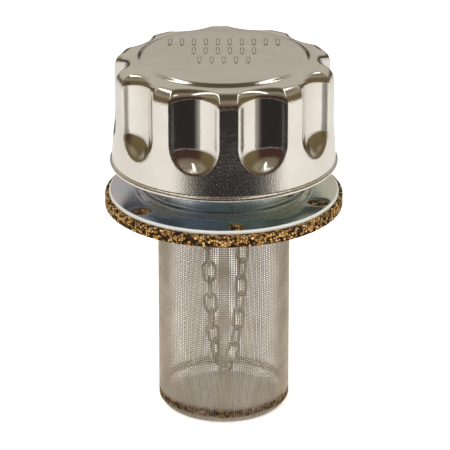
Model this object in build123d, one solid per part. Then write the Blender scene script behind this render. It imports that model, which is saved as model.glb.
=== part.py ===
from build123d import *
from math import acos, cos, cosh, degrees, hypot, radians, sin
import os

# Hydraulic filler breather: bayonet cap with air filter, filler neck on a six-hole flange,
# two cork gaskets, a woven strainer basket and a keeper chain. Millimetres, +Z up.
# Origin: centre of the lower gasket's underside, which is the mounting plane on the tank.

# ---- driving dimensions -------------------------------------------------------------------
# flange and gaskets
flange_t = 1.5
flange_edge_round = 0.35
gasket_proud = 1.5
gasket_t = 2.0
screw_hole_r = 2.6
screw_count = 6
screw_turn = -83.0
slot_width = 5.7
slot_length = 7.75
slot_foot_gap = 0.425
slot_rim_width = 1.125

# filler neck
neck_r = 29.4
neck_wall = 1.2
neck_height = 15.5
neck_foot_r = 32.2
neck_foot_t = 0.5
neck_bead_out = 1.4
neck_bead_height = 1.8
spigot_wall = 0.8
mouth_r = 23.5
stake_count = 24
stake_r = 0.55
stake_depth = 0.3

# cap shell
cap_lip_gap = 10.36
cap_height = 40.4
cap_side_r = 39.9
cap_hem_r = 41.1
cap_wall = 0.9
hem_wire_r = 0.95
flare_height = 13.0
shoulder_drop = 1.45
shoulder_round = 5.5
disc_r = 29.2
disc_step_run = 1.8
disc_round = 1.2
flute_count = 10
flute_turn = -69.5
flute_r = 12.4
flute_floor_r = 35.4
flute_end_height = 19.6
bar_width = 1.5
bar_length = 6.4
bar_height = 0.6
bar_pitch = 4.3
bar_row_pitch = 9.6
bar_row_first = 13.6
bar_rows = (10, 6, 5)

# cap inside
seal_t = 2.0
seal_width = 5.1
cup_floor_t = 0.8
cup_wall_height = 6.8
cup_ear_count = 6
cup_ear_width = 12.0
vent_hole_r = 2.4
vent_circle_r = 13.0
vent_count = 8
element_inner_r = 18.0
element_height = 26.0
retainer_t = 0.6
retainer_boss_r = 8.0

# bayonet lock
lug_count = 3
lug_turn = 30.0
lug_half_angle = 14.0
lug_reach_r = 26.5
plate_t = 1.4
plate_r = 22.8
bush_r = 8.0
rivet_r = 3.0
rivet_head_r = 4.5
rivet_head_t = 1.4
spacer_washer_r = 5.0
spacer_washer_t = 2.0

# keeper chain
wire_d = 1.2
link_length = 9.0
link_width = 5.6
chain_curve = 3.2
chain_turn = 54.6
cap_links = 13
neck_links = 12
swivel_t = 1.0
swivel_r = 5.2
swivel_turn = 220.3
swivel_reach = 8.66
swivel_bridge = 1.4
swivel_hole_r = 1.4
anchor_t = 1.2
anchor_width = 6.0
anchor_bridge = 1.4
anchor_hole_r = 1.4

# strainer basket
basket_r = 23.95
basket_wall = 0.6
basket_length = 78.4
basket_corner_r = 2.6
basket_rim_r = 34.0
basket_rim_t = 0.8
basket_collar_t = 0.6
basket_collar_depth = 6.0
bottom_lap = 4.4
window_rows = 5
window_columns = 24
window_width = 2.2
window_height = 10.6
window_top_margin = 5.0
seam_width = 3.0
bottom_hole_r = 1.9
bottom_hole_pitch = 8.4

# clearances and fits
seat_gap = 0.1
slide_gap = 0.5
running_gap = 0.08
cup_side_gap = 1.9
element_side_gap = 0.4
swivel_gap = 0.15
chain_slack = 0.1
eye_gap = 0.15
lock_gap = 0.4
notch_margin = 5.0
escape_gap = 0.4
cork_bore_gap = 0.55
rim_recess_gap = 0.2

# ---- sizes and levels that follow -----------------------------------------------------------
cup_r = flute_floor_r - cap_wall - cup_side_gap
element_outer_r = cup_r - cup_floor_t - element_side_gap
screw_circle_r = neck_foot_r + slot_foot_gap + slot_length / 2
flange_r = screw_circle_r + slot_length / 2 + slot_rim_width
gasket_r = flange_r + gasket_proud
flange_bottom_z = 2 * gasket_t
flange_top_z = flange_bottom_z + flange_t
neck_top_z = flange_top_z + neck_height
rim_under_z = neck_top_z - neck_wall
neck_bore_r = neck_r - neck_wall
spigot_r = neck_bore_r + spigot_wall
cap_bottom_z = flange_top_z + cap_lip_gap
cap_top_z = cap_bottom_z + cap_height
shoulder_z = cap_top_z - shoulder_drop
flare_z = cap_bottom_z + flare_height
hem_centre_z = cap_bottom_z + hem_wire_r
hem_centre_r = cap_hem_r - hem_wire_r
seal_z = neck_top_z + seat_gap
cup_floor_z = seal_z + seal_t
cup_top_z = cup_floor_z + cup_floor_t
element_top_z = cup_top_z + element_height
plate_top_z = rim_under_z - lock_gap
plate_z = plate_top_z - plate_t
spacer_z = plate_z - spacer_washer_t
swivel_z = spacer_z - swivel_gap - swivel_t
rivet_bottom_z = swivel_z - swivel_gap - rivet_head_t
flute_centre_r = flute_floor_r + flute_r
flute_end_z = cap_bottom_z + flute_end_height
basket_bore_r = basket_r - basket_wall
basket_bottom_z = -basket_length
basket_side_bottom_z = basket_bottom_z + basket_corner_r
chain_pitch = link_length - 2 * wire_d - chain_slack


def save(part, node):
    export_step(part, f"parts/{node}.step")


def ring(outer_r, inner_r, z, height):
    """Flat ring standing on level z."""
    section = Circle(outer_r) - Circle(inner_r)
    return Pos(0, 0, z) * extrude(section, height)


def lathe(points, rounds=()):
    """Solid of revolution from (radius, height) points; rounds is (point number, radius)."""
    face = make_face(Polyline(*points, close=True))
    for number, radius in rounds:
        r, z = points[number]
        corner = face.vertices().sort_by_distance((r, z, 0))[0]
        face = fillet(corner, radius)
    return revolve(Plane.XZ * face, Axis.Z)


def around(radius, count, turn):
    """Places on a circle, the first at angle turn, each facing outwards along its X."""
    step = 360 / count
    return [Rot(0, 0, turn + step * i) * Pos(radius, 0, 0) for i in range(count)]


# ---- flange, gaskets and neck -------------------------------------------------------------
def flange_plate():
    """Stamped plate with six radial slots for the screws."""
    section = Circle(flange_r) - Circle(spigot_r)
    for place in around(screw_circle_r, screw_count, screw_turn):
        section -= place * SlotOverall(slot_length, slot_width)
    plate = Pos(0, 0, flange_bottom_z) * extrude(section, flange_t)
    rim = plate.edges().filter_by(GeomType.CIRCLE).filter_by(lambda e: abs(e.radius - flange_r) < 0.01)
    return fillet(rim, flange_edge_round)


def gasket(z):
    """Cork ring with six screw holes."""
    section = Circle(gasket_r) - Circle(basket_r + cork_bore_gap)
    for place in around(screw_circle_r, screw_count, screw_turn):
        section -= place * Circle(screw_hole_r)
    return Pos(0, 0, z) * extrude(section, gasket_t)


def gasket_upper():
    """Upper cork, with the basket's rim pressed into its underside."""
    recess = ring(basket_rim_r + rim_recess_gap, basket_r, gasket_t, basket_rim_t)
    return gasket(gasket_t) - recess


def filler_neck():
    """Drawn collar: turned-in mouth with three notches, base bead, foot and staked spigot."""
    foot_top_z = flange_top_z + neck_foot_t
    bead_r = neck_r + neck_bead_out
    bead_top_z = foot_top_z + neck_bead_height
    bead_round = 0.55 * min(neck_bead_out, neck_bead_height)
    bead_root = 0.35 * min(neck_bead_out, neck_bead_height)
    body = lathe([
        (neck_bore_r, flange_bottom_z),
        (spigot_r, flange_bottom_z),
        (spigot_r, flange_top_z),
        (neck_foot_r, flange_top_z),
        (neck_foot_r, foot_top_z),
        (bead_r, foot_top_z),
        (bead_r, bead_top_z),
        (neck_r, bead_top_z),
        (neck_r, neck_top_z),
        (mouth_r, neck_top_z),
        (mouth_r, rim_under_z),
        (neck_bore_r, rim_under_z),
    ], rounds=((4, 0.4 * neck_foot_t), (6, bead_round), (7, bead_root), (8, 0.9 * neck_wall)))
    notch_half = lug_half_angle + notch_margin
    for place in around(0, lug_count, lug_turn - notch_half):
        body -= place * sector(lug_reach_r + slide_gap, 2 * notch_half, rim_under_z, neck_wall)
    stake_z = foot_top_z - stake_depth
    for place in around((bead_r + neck_foot_r) / 2 - stake_depth / 4, stake_count, 0):
        body -= place * Pos(0, 0, stake_z) * extrude(Circle(stake_r), stake_depth)
    return body


def sector(radius, angle, z, height):
    """Pie slice from angle 0 to angle, standing on level z."""
    edge = Line((0, 0), (radius, 0))
    arc = CenterArc((0, 0), radius, 0, angle)
    back = Line(arc @ 1, (0, 0))
    return Pos(0, 0, z) * extrude(make_face([edge, arc, back]), height)


# ---- cap ----------------------------------------------------------------------------------
def cap_form(inset):
    """The cap's form without flutes, inset from its outer face, closed down to the hem."""
    side_r = cap_side_r - inset
    low_r = hem_centre_r + hem_wire_r / 2 - inset
    step_r = disc_r - inset
    foot_r = disc_r + disc_step_run - inset
    return lathe([
        (0, cap_top_z - inset),
        (step_r, cap_top_z - inset),
        (foot_r, shoulder_z - inset),
        (side_r, shoulder_z - inset),
        (side_r, flare_z),
        (low_r, hem_centre_z),
        (0, hem_centre_z),
    ], rounds=((1, disc_round), (2, disc_round), (3, shoulder_round - inset)))


def flute_cutters(grow):
    """Ten round grooves with ball ends, grown by the wall for the inside."""
    height = cap_top_z + cap_wall - flute_end_z
    groove = Pos(0, 0, flute_end_z) * extrude(Circle(flute_r + grow), height)
    groove += Pos(0, 0, flute_end_z) * Sphere(flute_r + grow)
    return [place * groove for place in around(flute_centre_r, flute_count, flute_turn)]


def cap_shell():
    """Stamped fluted shell with a rolled hem and rows of plain raised bars on top."""
    outside = cap_form(0)
    for cutter in flute_cutters(0):
        outside -= cutter
    inside = cap_form(cap_wall)
    for cutter in flute_cutters(cap_wall):
        inside -= cutter
    shell = outside - inside
    shell += Pos(0, 0, hem_centre_z) * Torus(hem_centre_r, hem_wire_r)
    for row, count in enumerate(bar_rows):
        y = bar_row_first - row * bar_row_pitch
        for i in range(count):
            x = (i - (count - 1) / 2) * bar_pitch
            bar = extrude(SlotOverall(bar_length, bar_width, rotation=90), cap_wall / 2 + bar_height)
            shell += Pos(x, y, cap_top_z - cap_wall / 2) * bar
    return shell


def inner_cup():
    """Drawn cup that carries the filter; its six ears are welded inside the skirt."""
    cup = ring(cup_r, rivet_r, cup_floor_z, cup_floor_t)
    cup += ring(cup_r, cup_r - cup_floor_t, cup_floor_z, cup_wall_height)
    lower_r = hem_centre_r + hem_wire_r / 2 - cap_wall
    slope = (lower_r - cap_side_r + cap_wall) / (flare_z - hem_centre_z)
    ear_r = lower_r - slope * (cup_top_z - hem_centre_z) - seat_gap / 2
    ear_run = ear_r - cup_r + cup_floor_t
    for place in around(ear_r - ear_run / 2, cup_ear_count, 0):
        cup += place * Pos(0, 0, cup_floor_z + cup_floor_t / 2) * Box(ear_run, cup_ear_width, cup_floor_t)
    cup &= ring(ear_r, rivet_r, cup_floor_z, cup_wall_height)
    for place in around(vent_circle_r, vent_count, 0):
        cup -= place * Pos(0, 0, cup_floor_z) * extrude(Circle(vent_hole_r), cup_floor_t)
    return cup


def cap_seal():
    return ring(neck_r - slide_gap, neck_r - slide_gap - seal_width, seal_z, seal_t)


def air_filter_element():
    return ring(element_outer_r, element_inner_r, cup_top_z, element_height)


def element_retainer():
    """Pressed disc on the element, with a centre boss that bears on the cap's top."""
    boss_top_z = cap_top_z - cap_wall
    t = retainer_t
    return lathe([
        (0, boss_top_z),
        (retainer_boss_r, boss_top_z),
        (element_inner_r, element_top_z + t),
        (element_outer_r, element_top_z + t),
        (element_outer_r, element_top_z),
        (element_inner_r, element_top_z),
        (retainer_boss_r, boss_top_z - t),
        (0, boss_top_z - t),
    ])


def locking_plate():
    """Flat plate with three lugs that turn under the neck's mouth."""
    plate = Pos(0, 0, plate_z) * extrude(Circle(plate_r), plate_t)
    for place in around(0, lug_count, lug_turn - lug_half_angle):
        plate += place * sector(lug_reach_r, 2 * lug_half_angle, plate_z, plate_t)
    return plate - Pos(0, 0, plate_z) * extrude(Circle(rivet_r), plate_t)


def centre_bush():
    return ring(bush_r, rivet_r, plate_top_z, cup_floor_z - plate_top_z)


def centre_rivet():
    """Rivet with a head below the chain swivel and a formed head above the cup's floor."""
    shank_bottom_z = rivet_bottom_z + rivet_head_t
    head_top_z = cup_top_z + rivet_head_t
    return lathe([
        (0, rivet_bottom_z),
        (rivet_head_r, rivet_bottom_z),
        (rivet_head_r, shank_bottom_z),
        (rivet_r, shank_bottom_z),
        (rivet_r, cup_top_z),
        (rivet_head_r, cup_top_z),
        (rivet_head_r, head_top_z),
        (0, head_top_z),
    ], rounds=((1, rivet_head_t / 2), (6, rivet_head_t / 2)))


def spacer_washer():
    return ring(spacer_washer_r, rivet_r, spacer_z, spacer_washer_t)


# ---- keeper chain -------------------------------------------------------------------------
def eyed_strip(reach, bridge, hole_r, width, root):
    """Flat outline along X from root to past reach, with a hole inside the bridge."""
    tip = reach + bridge / 2
    run = tip - root
    outline = Pos(root + run / 2, 0) * Rectangle(run, width)
    outline = fillet(outline.vertices().sort_by(Axis.X)[-2:], width / 3)
    return outline - Pos(reach - bridge / 2 - hole_r, 0) * Circle(hole_r)


def chain_swivel():
    """Flat eyelet that turns on the rivet and holds the first link by its tip."""
    strip = eyed_strip(swivel_reach, swivel_bridge, swivel_hole_r, swivel_r, 0)
    outline = Circle(swivel_r) + strip
    outline -= Circle(rivet_r + running_gap)
    outline -= Pos(swivel_reach - swivel_bridge / 2 - swivel_hole_r, 0) * Circle(swivel_hole_r)
    return Pos(0, 0, swivel_z) * Rot(0, 0, swivel_turn) * extrude(outline, swivel_t)


def next_place(u, pitch):
    """Place on the hanging curve one link further from its lowest point than u."""
    low, high = u, u + pitch
    for _ in range(40):
        mid = (low + high) / 2
        run = mid - u
        rise = chain_curve * (cosh(mid / chain_curve) - cosh(u / chain_curve))
        low, high = (mid, high) if hypot(run, rise) < pitch else (low, mid)
    return (low + high) / 2


def hanging_places():
    """Joint places from the lowest link up, and the half width of the lowest link's turn."""
    end_arc_r = (link_width - wire_d) / 2
    straight = link_length - link_width
    hook = end_arc_r - wire_d / 2 - chain_slack / 2
    lean = 0.3
    for _ in range(30):
        u = straight / 2 + hook * lean
        after = next_place(u, chain_pitch)
        lean = (after - u) / chain_pitch
    places = [u]
    for _ in range(max(cap_links, neck_links)):
        places.append(next_place(places[-1], chain_pitch))
    return places, hook, acos(lean)


def link_solid():
    """One welded oval link, lying in the XY plane with its length along Y."""
    width = link_width - wire_d
    length = link_length - wire_d
    half = (length - width) / 2
    path = Line((width / 2, -half), (width / 2, half))
    path += CenterArc((0, half), width / 2, 0, 180)
    path += Line((-width / 2, half), (-width / 2, -half))
    path += CenterArc((0, -half), width / 2, 180, 180)
    profile = Plane(origin=(width / 2, -half, 0), z_dir=(0, 1, 0)) * Circle(wire_d / 2)
    return sweep(profile, path=path)


def flat_direction(angle):
    return Vector(cos(radians(angle)), sin(radians(angle)), 0)


def across(along, angle):
    """Unit vector square to along, nearest to the level direction angle."""
    level = flat_direction(angle)
    square = level - along * level.dot(along)
    return square.normalized()


places, hook_offset, lean_angle = hanging_places()
rises = [chain_curve * cosh(u / chain_curve) for u in places]
swivel_point = flat_direction(swivel_turn) * swivel_reach
grip = chain_slack / 2 + wire_d / 2
cap_chain_top_z = swivel_z + swivel_t / 2 + grip + eye_gap
chain_direction = flat_direction(chain_turn)
chain_centre = swivel_point + chain_direction * places[cap_links]
chain_base_z = cap_chain_top_z - rises[cap_links]
anchor_point = chain_centre + chain_direction * places[neck_links]
anchor_z = chain_base_z + rises[neck_links] - grip - eye_gap
anchor_turn = degrees(acos(anchor_point.X / hypot(anchor_point.X, anchor_point.Y)))
anchor_reach = hypot(anchor_point.X, anchor_point.Y)


def chain_place(side, number):
    """Joint place number on the cap side (-1) or the neck side (+1) of the chain."""
    level = chain_centre + chain_direction * (side * places[number])
    return Vector(level.X, level.Y, chain_base_z + rises[number])


def chain_link(master, start, end, angle):
    along = (end - start).normalized()
    wide = across(along, angle)
    frame = Plane(origin=(start + end) / 2, x_dir=wide, z_dir=wide.cross(along))
    return frame.location * master


def chain_links():
    """Links from the cap down, the open lowest link, then up to the neck; one list."""
    master = link_solid()
    square_turn = chain_turn + 90
    links = []
    for number in range(cap_links, 0, -1):
        share = (number - 1) / (cap_links - 1)
        angle = square_turn - 180 + share * (swivel_turn - square_turn)
        if number % 2 == 0:
            angle += 90
        links.append(chain_link(master, chain_place(-1, number - 1), chain_place(-1, number), angle))
    links.append(lowest_link(master))
    last_angle = anchor_turn if neck_links % 2 else anchor_turn - 90
    for number in range(1, neck_links + 1):
        share = (number - 1) / (neck_links - 1)
        angle = square_turn - 180 + share * (last_angle - square_turn + 180)
        if number % 2 == 0:
            angle += 90
        links.append(chain_link(master, chain_place(1, number - 1), chain_place(1, number), angle))
    return links


def lowest_link(master):
    """Upright link at the bottom of the loop, with a mouth where the cap's strand leaves it."""
    centre_z = chain_base_z + rises[0] - hook_offset * sin(lean_angle)
    centre = Vector(chain_centre.X, chain_centre.Y, centre_z)
    frame = Plane(origin=centre, x_dir=(0, 0, 1), z_dir=chain_direction.cross(Vector(0, 0, 1)) * -1)
    link = frame.location * master
    grip_point = places[0] - grip * cos(lean_angle)
    mouth_width = wire_d + 2 * escape_gap
    mouth = Box(mouth_width, 2 * wire_d, link_width)
    level = chain_centre - chain_direction * grip_point
    place = Pos(level.X, level.Y, centre_z + link_width / 2) * Rot(0, 0, chain_turn)
    return link - place * mouth


def chain_anchor():
    """Strip welded inside the neck; the last link hangs from its inner end."""
    root = neck_bore_r
    tip = anchor_reach - anchor_bridge / 2
    run = root - tip
    outline = Pos(tip + run / 2, 0) * Rectangle(run, anchor_width)
    outline = fillet(outline.vertices().sort_by(Axis.X)[:2], anchor_width / 3)
    outline -= Pos(anchor_reach + anchor_bridge / 2 + anchor_hole_r, 0) * Circle(anchor_hole_r)
    strip = Rot(0, 0, anchor_turn) * extrude(outline, anchor_t)
    strip = Pos(0, 0, anchor_z - anchor_t / 2) * strip
    return strip & Pos(0, 0, anchor_z) * Cylinder(neck_bore_r, 2 * anchor_t)


# ---- strainer basket ----------------------------------------------------------------------
def basket_rim():
    """Pressed ring clamped between the corks, with a short collar inside the gauze."""
    collar_r = basket_bore_r
    rim = ring(basket_rim_r, collar_r - basket_collar_t, gasket_t, basket_rim_t)
    collar_depth = gasket_t + basket_collar_depth
    rim += ring(collar_r, collar_r - basket_collar_t, -basket_collar_depth, collar_depth)
    return rim


def basket_side():
    """Gauze tube: thin wall with rows of upright windows and a lapped seam at the front."""
    top_z = gasket_t
    height = top_z - basket_side_bottom_z
    wall = ring(basket_r, basket_bore_r, basket_side_bottom_z, height)
    rows_z = top_z - basket_collar_depth - gasket_t - window_top_margin
    row_span = rows_z - (basket_bottom_z + bottom_lap + basket_corner_r)
    row_pitch = row_span / window_rows
    for row in range(window_rows):
        z = rows_z - (row + 0.5) * row_pitch
        for column in range(window_columns // 2):
            turn = (column + 0.5) * 360 / window_columns
            cutter = Box(window_width, 3 * basket_r, window_height)
            wall -= Pos(0, 0, z) * Rot(0, 0, turn) * cutter
    seam = Pos(0, -basket_r + basket_wall / 2, 0) * Box(seam_width, basket_wall, height)
    seam = Pos(0, 0, basket_side_bottom_z + height / 2) * seam
    seam &= ring(basket_r, basket_bore_r, basket_side_bottom_z, height)
    return wall + seam


def basket_bottom():
    """Gauze cup closing the tube: upturned edge inside it, rounded corner, flat floor."""
    r = basket_bore_r
    t = basket_wall
    top_z = basket_side_bottom_z + bottom_lap
    cup = lathe([
        (0, basket_bottom_z),
        (r, basket_bottom_z),
        (r, top_z),
        (r - t, top_z),
        (r - t, basket_bottom_z + t),
        (0, basket_bottom_z + t),
    ], rounds=((1, basket_corner_r), (4, basket_corner_r - t)))
    for column in range(-2, 3):
        offset = abs(column) % 2 * bottom_hole_pitch / 2
        for row in range(-2, 3):
            x = column * bottom_hole_pitch * cos(radians(30))
            y = row * bottom_hole_pitch + offset
            if hypot(x, y) < r - basket_corner_r - bottom_hole_r:
                cup -= Pos(x, y, basket_bottom_z) * extrude(Circle(bottom_hole_r), t)
    return cup


os.makedirs("parts", exist_ok=True)
save(flange_plate(), "flange_plate")
save(gasket(0), "gasket_lower")
save(gasket_upper(), "gasket_upper")
save(filler_neck(), "filler_neck")
save(chain_anchor(), "chain_anchor")
save(basket_rim(), "basket_rim")
save(basket_side(), "basket_side")
save(basket_bottom(), "basket_bottom")
save(cap_shell(), "cap_shell")
save(inner_cup(), "inner_cup")
save(cap_seal(), "cap_seal")
save(air_filter_element(), "air_filter_element")
save(element_retainer(), "element_retainer")
save(locking_plate(), "locking_plate")
save(centre_bush(), "centre_bush")
save(centre_rivet(), "centre_rivet")
save(spacer_washer(), "spacer_washer")
save(chain_swivel(), "chain_swivel")
for number, link in enumerate(chain_links(), start=1):
    save(link, f"chain_link_{number:02d}")
print("chain: lowest joint", round(chain_base_z + rises[0], 2), "anchor", anchor_point, round(anchor_z, 2))
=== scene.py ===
from math import ceil, cos, pi, radians, sin, sqrt

import bpy
import numpy as np
from mathutils import Matrix, Vector


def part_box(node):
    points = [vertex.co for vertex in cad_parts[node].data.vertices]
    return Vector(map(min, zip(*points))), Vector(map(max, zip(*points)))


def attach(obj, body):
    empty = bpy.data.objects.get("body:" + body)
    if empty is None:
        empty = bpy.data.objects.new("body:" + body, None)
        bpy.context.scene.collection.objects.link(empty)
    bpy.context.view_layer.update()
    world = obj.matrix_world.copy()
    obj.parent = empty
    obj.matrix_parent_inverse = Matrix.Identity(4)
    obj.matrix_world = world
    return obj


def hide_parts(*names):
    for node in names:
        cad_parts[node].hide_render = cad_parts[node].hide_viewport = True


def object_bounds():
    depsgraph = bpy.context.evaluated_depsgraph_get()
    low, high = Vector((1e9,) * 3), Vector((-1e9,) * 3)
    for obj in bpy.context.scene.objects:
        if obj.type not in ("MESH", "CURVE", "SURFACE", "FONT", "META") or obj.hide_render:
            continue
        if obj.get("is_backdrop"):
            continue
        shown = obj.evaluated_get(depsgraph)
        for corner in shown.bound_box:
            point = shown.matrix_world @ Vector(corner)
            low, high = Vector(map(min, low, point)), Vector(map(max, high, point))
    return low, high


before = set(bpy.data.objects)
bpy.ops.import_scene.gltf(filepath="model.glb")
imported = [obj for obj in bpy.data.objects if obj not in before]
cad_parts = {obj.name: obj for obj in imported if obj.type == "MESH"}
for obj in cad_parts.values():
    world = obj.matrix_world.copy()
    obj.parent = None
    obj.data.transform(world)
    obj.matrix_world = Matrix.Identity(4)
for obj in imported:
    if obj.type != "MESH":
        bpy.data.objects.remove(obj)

cad_low, cad_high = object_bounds()
bpy.ops.object.select_all(action="DESELECT")
mm = 0.001


# ---- Camera ---------------------------------------------------------------------------------
# A long lens from about a metre, looking down on the front of the flange.
camera_distance = 1050 * mm
camera_height = 428.5 * mm
camera_pitch = radians(22.636)
camera_data = bpy.data.cameras.new("camera")
camera_data.sensor_width = 36
camera_data.lens = 250.46
camera_data.shift_x = 0.0026
camera_data.clip_start = 0.01
camera = bpy.data.objects.new("camera", camera_data)
camera.location = (0, -camera_distance, camera_height)
camera.rotation_euler = (pi / 2 - camera_pitch, 0, 0)
bpy.context.scene.collection.objects.link(camera)
bpy.context.scene.camera = camera


# ---- Basket bottom --------------------------------------------------------------------------
# Round blank of plain-woven stainless gauze, drawn into a shallow cup and pushed into the tube.
# Its upturned edge is resistance-welded to the tube, which leaves a brown heat-tinted band.
wire_d = 0.3 * mm
wire_wave = 0.5 * wire_d
weave_pitch = 0.845 * mm
wire_sides = 4
side_low, side_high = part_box("basket_side")
cup_low, cup_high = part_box("basket_bottom")
gauze_wall = 0.6 * mm
tube_mid_r = side_high.x - gauze_wall / 2
cup_mid_r = cup_high.x - gauze_wall / 2
cup_corner_r = 2.3 * mm
cup_floor_z = cup_low.z + gauze_wall / 2
cup_flat_r = cup_mid_r - cup_corner_r
cup_arc_run = cup_corner_r * pi / 2


def add_node(tree, kind, place=(0, 0), **settings):
    """A shader node with its settings: plain names are properties, names of sockets are values."""
    node = tree.nodes.new(kind)
    node.location = place
    for key, value in settings.items():
        if hasattr(node, key):
            setattr(node, key, value)
        else:
            node.inputs[key.replace("_", " ")].default_value = value
    return node


def new_material(name, **settings):
    """A material with a Principled shader, and its node tree."""
    material = bpy.data.materials.new(name)
    material.use_nodes = True
    tree = material.node_tree
    shader = tree.nodes["Principled BSDF"]
    for key, value in settings.items():
        shader.inputs[key.replace("_", " ")].default_value = value
    return material, tree, shader


def ramp_node(tree, stops, place=(0, 0)):
    """A colour ramp from (position, colour) stops."""
    node = tree.nodes.new("ShaderNodeValToRGB")
    node.location = place
    ramp = node.color_ramp
    while len(ramp.elements) < len(stops):
        ramp.elements.new(0.5)
    for element, (position, colour) in zip(ramp.elements, stops):
        element.position = position
        element.color = (*colour, 1)
    return node


def make_group(name, inputs, outputs):
    """A shader node group; inputs and outputs are (name, kind, value) and (name, kind)."""
    group = bpy.data.node_groups.new(name, "ShaderNodeTree")
    for label, kind, value in inputs:
        socket = group.interface.new_socket(label, in_out="INPUT", socket_type=kind)
        socket.default_value = value
    for label, kind in outputs:
        group.interface.new_socket(label, in_out="OUTPUT", socket_type=kind)
    return group, group.nodes.new("NodeGroupInput"), group.nodes.new("NodeGroupOutput")


def place_group(tree, group, place=(0, 0), **values):
    node = tree.nodes.new("ShaderNodeGroup")
    node.node_tree = group
    node.location = place
    for key, value in values.items():
        node.inputs[key.replace("_", " ")].default_value = value
    return node


def make_grain_group():
    """Fine surface grain on Object coordinates: a mask, and its height for a Bump node."""
    inputs = (("Scale", "NodeSocketFloat", 900.0), ("Detail", "NodeSocketFloat", 3.0),
              ("Patch Scale", "NodeSocketFloat", 60.0))
    outputs = (("Grain", "NodeSocketFloat"), ("Patches", "NodeSocketFloat"))
    group, source, sink = make_group("surface_grain", inputs, outputs)
    coords = add_node(group, "ShaderNodeTexCoord")
    fine = add_node(group, "ShaderNodeTexNoise", Roughness=0.6)
    broad = add_node(group, "ShaderNodeTexNoise", Detail=2.0)
    link = group.links.new
    link(coords.outputs["Object"], fine.inputs["Vector"])
    link(coords.outputs["Object"], broad.inputs["Vector"])
    link(source.outputs["Scale"], fine.inputs["Scale"])
    link(source.outputs["Detail"], fine.inputs["Detail"])
    link(source.outputs["Patch Scale"], broad.inputs["Scale"])
    link(fine.outputs["Fac"], sink.inputs["Grain"])
    link(broad.outputs["Fac"], sink.inputs["Patches"])
    return group


def make_reach_group():
    """Mask on Object coordinates that rises softly with the distance from the upright axis."""
    inputs = (("Start", "NodeSocketFloat", 0.0), ("Stop", "NodeSocketFloat", 1.0))
    group, source, sink = make_group("axis_reach", inputs, (("Mask", "NodeSocketFloat"),))
    coords = add_node(group, "ShaderNodeTexCoord")
    flat = add_node(group, "ShaderNodeVectorMath", operation="MULTIPLY")
    flat.inputs[1].default_value = (1, 1, 0)
    reach = add_node(group, "ShaderNodeVectorMath", operation="LENGTH")
    rise = add_node(group, "ShaderNodeMapRange", interpolation_type="SMOOTHSTEP")
    link = group.links.new
    link(coords.outputs["Object"], flat.inputs[0])
    link(flat.outputs[0], reach.inputs[0])
    link(reach.outputs["Value"], rise.inputs["Value"])
    link(source.outputs["Start"], rise.inputs["From Min"])
    link(source.outputs["Stop"], rise.inputs["From Max"])
    link(rise.outputs[0], sink.inputs["Mask"])
    return group


def mesh_piece(name, points, faces, material):
    """A smooth-shaded piece from points and faces."""
    mesh = bpy.data.meshes.new(name)
    mesh.from_pydata([tuple(p) for p in points], [], faces)
    mesh.polygons.foreach_set("use_smooth", [True] * len(mesh.polygons))
    mesh.materials.append(material)
    mesh.update()
    piece = bpy.data.objects.new(name, mesh)
    bpy.context.scene.collection.objects.link(piece)
    return piece


def wire_tube(points, normals, radius, closed):
    """Corner points and faces of one round wire along points, kept square by normals."""
    along = np.roll(points, -1, 0) - np.roll(points, 1, 0)
    if not closed:
        along[0] = points[1] - points[0]
        along[-1] = points[-1] - points[-2]
    along /= np.linalg.norm(along, axis=1)[:, None]
    across = np.cross(along, normals)
    across /= np.linalg.norm(across, axis=1)[:, None]
    square = np.cross(across, along)
    turns = [2 * pi * i / wire_sides for i in range(wire_sides)]
    corners = np.stack([points + radius * (cos(t) * across + sin(t) * square) for t in turns], 1)
    count = len(points)
    faces = []
    for i in range(count if closed else count - 1):
        first, second = i * wire_sides, (i + 1) % count * wire_sides
        for side in range(wire_sides):
            other = (side + 1) % wire_sides
            faces.append((first + side, first + other, second + other, second + side))
    if not closed:
        last = (count - 1) * wire_sides
        faces.append(tuple(reversed(range(wire_sides))))
        faces.append(tuple(range(last, last + wire_sides)))
    return corners.reshape(-1, 3), faces


def wire_piece(name, wires, material):
    """All wires, each (points, normals, closed), as one piece."""
    all_points, all_faces, start = [], [], 0
    for points, normals, closed in wires:
        corners, faces = wire_tube(points, normals, wire_d / 2, closed)
        all_points.append(corners)
        all_faces += [tuple(corner + start for corner in face) for face in faces]
        start += len(corners)
    return mesh_piece(name, np.concatenate(all_points), all_faces, material)


def cup_place(x, y):
    """Where a point of the flat blank lies on the drawn cup, and the cup's normal there."""
    reach = sqrt(x * x + y * y)
    out = (x / reach, y / reach) if reach > 0 else (1, 0)
    run = reach - cup_flat_r
    if run <= 0:
        return (x, y, cup_floor_z), (0, 0, -1)
    if run < cup_arc_run:
        bend = run / cup_corner_r
        r = cup_flat_r + cup_corner_r * sin(bend)
        z = cup_floor_z + cup_corner_r * (1 - cos(bend))
        return (out[0] * r, out[1] * r, z), (out[0] * sin(bend), out[1] * sin(bend), -cos(bend))
    z = cup_floor_z + cup_corner_r + run - cup_arc_run
    return (out[0] * cup_mid_r, out[1] * cup_mid_r, z), (out[0], out[1], 0)


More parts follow.
